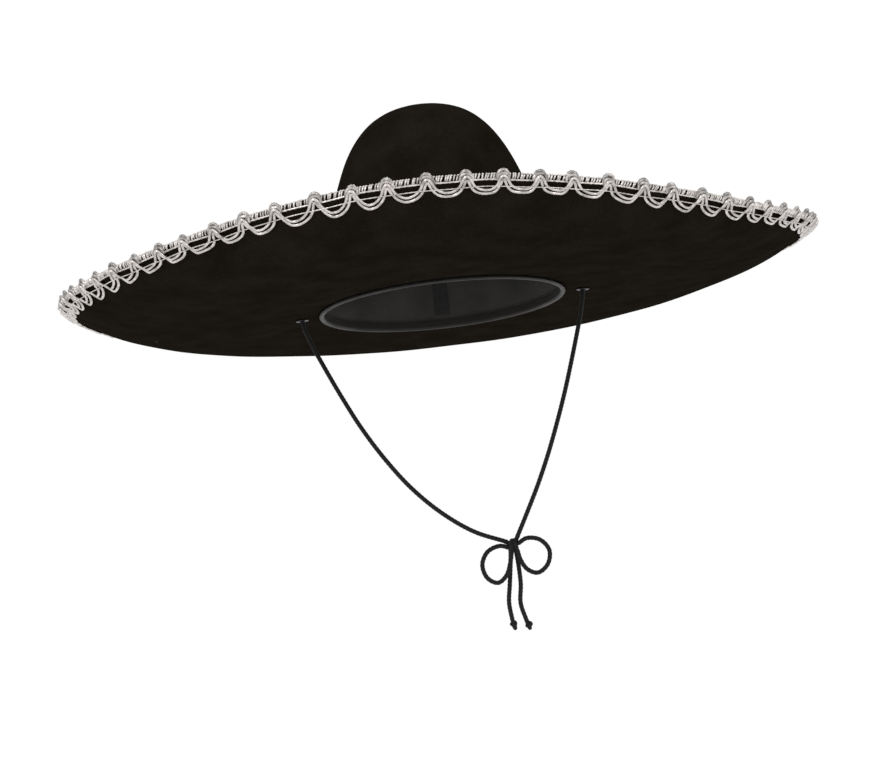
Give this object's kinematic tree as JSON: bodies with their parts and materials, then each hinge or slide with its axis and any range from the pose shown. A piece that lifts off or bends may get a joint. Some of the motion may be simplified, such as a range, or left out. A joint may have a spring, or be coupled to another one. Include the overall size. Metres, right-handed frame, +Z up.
{
  "type": "sombrero",
  "caption": "Wide-brimmed black felt sombrero with a tapered round crown, silver scroll braid along the upturned rim, inner sweatband and a lace chin cord tied in a bow.",
  "frame": {"origin": "centre of the head opening, level with the middle of the brim's thickness at the opening", "axes": "+Z up along the crown's axis, the front of the hat faces -Y, +X is the wearer's left"},
  "size_m": [0.538, 0.5378, 0.3765],
  "materials": {
    "felt": "matte black felt with a warm cast",
    "lining": "black satin",
    "ribbon": "black grosgrain",
    "silver_braid": "metallised silver gimp",
    "board": "raw board",
    "wire": "drawn wire",
    "sweatband": "black leatherette",
    "reed": "matte",
    "eyelet": "black enamel",
    "lace": "braided black lace"
  },
  "bodies": {
    "hat": {"crown_felt": "felt", "crown_lining": "lining", "hat_band": "ribbon", "crown_braid": "silver_braid", "brim_upper_felt": "felt", "brim_board": "board", "brim_under_felt": "felt", "brim_wire": "wire", "wire_ferrule": "wire", "edge_ladder": "silver_braid", "picot_edge": "silver_braid", "scallop_braid": "silver_braid", "heading_thread": "silver_braid", "cross_thread": "silver_braid", "sweatband": "sweatband", "sweatband_reed": "reed", "sweatband_seam_tape": "ribbon", "eyelet_right": "eyelet", "cord_stop_knot_right": "lace", "eyelet_left": "eyelet", "cord_stop_knot_left": "lace"},
    "chin_cord": {"chin_cord_left": "lace", "chin_cord_right": "lace", "bow_loop_left": "lace", "bow_loop_right": "lace", "bow_tail_left": "lace", "bow_tail_right": "lace", "bow_knot": "lace", "tail_knot_left": "lace", "tail_knot_right": "lace"}
  },
  "joints": [
    {"name": "chin_cord_swing", "type": "hinge", "parent": "hat", "child": "chin_cord", "pos_m": [0, 0, -0.0108], "axis": [1, 0, 0], "range_deg": [-75, 75]}
  ]
}
